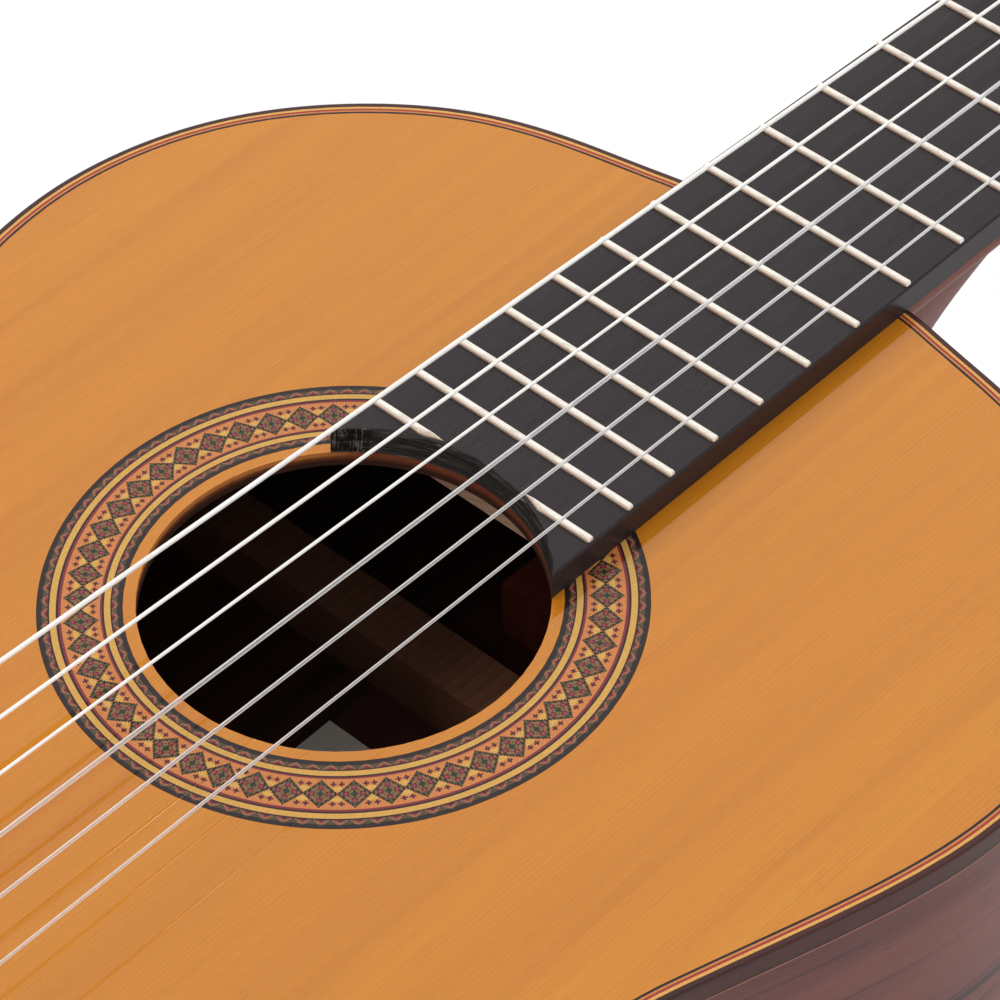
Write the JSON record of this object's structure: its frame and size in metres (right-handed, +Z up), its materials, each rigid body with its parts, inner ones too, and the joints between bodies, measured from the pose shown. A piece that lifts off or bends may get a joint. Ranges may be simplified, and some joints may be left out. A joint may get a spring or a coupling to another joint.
{
  "type": "classical guitar",
  "caption": "Nylon-string classical guitar with a mosaic rosette round the soundhole, fretted fingerboard, tie-block bridge and slotted head whose buttons turn geared string rollers.",
  "frame": {"origin": "tail end of the soundboard's outer face, on the centre line", "axes": "+Z up the neck from tail to head, -Y out of the soundboard towards the listener, +X towards the treble side"},
  "size_m": [0.3686, 0.1183, 1.002],
  "materials": {
    "cedar_top": "satin lacquer over straight-grained cedar",
    "rosewood": "gloss lacquer over dark rosewood",
    "mahogany": "gloss lacquer over reddish brown mahogany",
    "ebony": "bare oiled ebony, satin",
    "spruce": "bare spruce, unfinished",
    "inner_cedar": "bare brown wood, unfinished",
    "inlay": "dyed wood mosaic under satin lacquer",
    "edge_lines": "dyed veneer lines under gloss lacquer",
    "maple_line": "light maple, gloss lacquer",
    "bone": "polished bone",
    "nickel_silver": "polished nickel silver",
    "brass": "polished brass",
    "steel": "ground steel",
    "nylon": "clear nylon",
    "silver_wound": "silver-plated copper winding",
    "pearl": "pearly plastic",
    "white_roller": "white plastic barrel on a steel axle",
    "paper": "plain uncoated paper"
  },
  "bodies": {
    "guitar": {"soundboard": "cedar_top", "rosette": "inlay", "soundhole_doubler": "spruce", "top_purfling": "edge_lines", "top_binding": "rosewood", "side_bass": "rosewood", "side_treble": "rosewood", "back_plate": "rosewood", "back_center_strip": "maple_line", "back_binding": "rosewood", "linings": "spruce", "neck": "mahogany", "headstock": "mahogany", "head_veneer": "rosewood", "heel_cap": "rosewood", "tail_block": "mahogany", "end_graft": "maple_line", "fan_struts": "spruce", "harmonic_bars": "spruce", "back_bars": "inner_cedar", "label": "paper", "fingerboard": "ebony", "frets": "nickel_silver", "nut": "bone", "saddle": "bone", "bridge": "rosewood", "tie_block_strips": "bone", "tuner_plate_bass": "brass", "tuner_plate_treble": "brass", "plate_screws": "brass", "string_1": "nylon", "string_2": "nylon", "string_3": "nylon", "string_4": "silver_wound", "string_5": "silver_wound", "string_6": "silver_wound"},
    "button_1": {"worm_shaft_1": "steel", "tuning_button_1": "pearl"},
    "roller_1": {"string_roller_1": "white_roller", "worm_wheel_1": "brass"},
    "button_2": {"worm_shaft_2": "steel", "tuning_button_2": "pearl"},
    "roller_2": {"string_roller_2": "white_roller", "worm_wheel_2": "brass"},
    "button_3": {"worm_shaft_3": "steel", "tuning_button_3": "pearl"},
    "roller_3": {"string_roller_3": "white_roller", "worm_wheel_3": "brass"},
    "button_4": {"worm_shaft_4": "steel", "tuning_button_4": "pearl"},
    "roller_4": {"string_roller_4": "white_roller", "worm_wheel_4": "brass"},
    "button_5": {"worm_shaft_5": "steel", "tuning_button_5": "pearl"},
    "roller_5": {"string_roller_5": "white_roller", "worm_wheel_5": "brass"},
    "button_6": {"worm_shaft_6": "steel", "tuning_button_6": "pearl"},
    "roller_6": {"string_roller_6": "white_roller", "worm_wheel_6": "brass"}
  },
  "joints": [
    {"name": "button_1_turn", "type": "hinge", "parent": "guitar", "child": "button_1", "pos_m": [0.0419, 0.02001, 0.85985], "axis": [0, -0.9659, 0.2588], "continuous": true},
    {"name": "roller_1_turn", "type": "hinge", "parent": "guitar", "child": "roller_1", "pos_m": [0.03, 0.01753, 0.85057], "axis": [1, 0, 0], "continuous": true},
    {"name": "button_2_turn", "type": "hinge", "parent": "guitar", "child": "button_2", "pos_m": [0.0419, 0.02907, 0.89365], "axis": [0, -0.9659, 0.2588], "continuous": true},
    {"name": "roller_2_turn", "type": "hinge", "parent": "guitar", "child": "roller_2", "pos_m": [0.03, 0.02659, 0.88438], "axis": [1, 0, 0], "continuous": true},
    {"name": "button_3_turn", "type": "hinge", "parent": "guitar", "child": "button_3", "pos_m": [0.0419, 0.03813, 0.92746], "axis": [0, -0.9659, 0.2588], "continuous": true},
    {"name": "roller_3_turn", "type": "hinge", "parent": "guitar", "child": "roller_3", "pos_m": [0.03, 0.03565, 0.91819], "axis": [1, 0, 0], "continuous": true},
    {"name": "button_4_turn", "type": "hinge", "parent": "guitar", "child": "button_4", "pos_m": [-0.0419, 0.03813, 0.92746], "axis": [0, -0.9659, 0.2588], "continuous": true},
    {"name": "roller_4_turn", "type": "hinge", "parent": "guitar", "child": "roller_4", "pos_m": [-0.03, 0.03565, 0.91819], "axis": [1, 0, 0], "continuous": true},
    {"name": "button_5_turn", "type": "hinge", "parent": "guitar", "child": "button_5", "pos_m": [-0.0419, 0.02907, 0.89365], "axis": [0, -0.9659, 0.2588], "continuous": true},
    {"name": "roller_5_turn", "type": "hinge", "parent": "guitar", "child": "roller_5", "pos_m": [-0.03, 0.02659, 0.88438], "axis": [1, 0, 0], "continuous": true},
    {"name": "button_6_turn", "type": "hinge", "parent": "guitar", "child": "button_6", "pos_m": [-0.0419, 0.02001, 0.85985], "axis": [0, -0.9659, 0.2588], "continuous": true},
    {"name": "roller_6_turn", "type": "hinge", "parent": "guitar", "child": "roller_6", "pos_m": [-0.03, 0.01753, 0.85057], "axis": [1, 0, 0], "continuous": true}
  ],
  "couplings": [
    {"joint": "roller_1_turn", "follows": "button_1_turn", "ratio": -0.071429},
    {"joint": "roller_2_turn", "follows": "button_2_turn", "ratio": -0.071429},
    {"joint": "roller_3_turn", "follows": "button_3_turn", "ratio": -0.071429},
    {"joint": "roller_4_turn", "follows": "button_4_turn", "ratio": -0.071429},
    {"joint": "roller_5_turn", "follows": "button_5_turn", "ratio": -0.071429},
    {"joint": "roller_6_turn", "follows": "button_6_turn", "ratio": -0.071429}
  ]
}
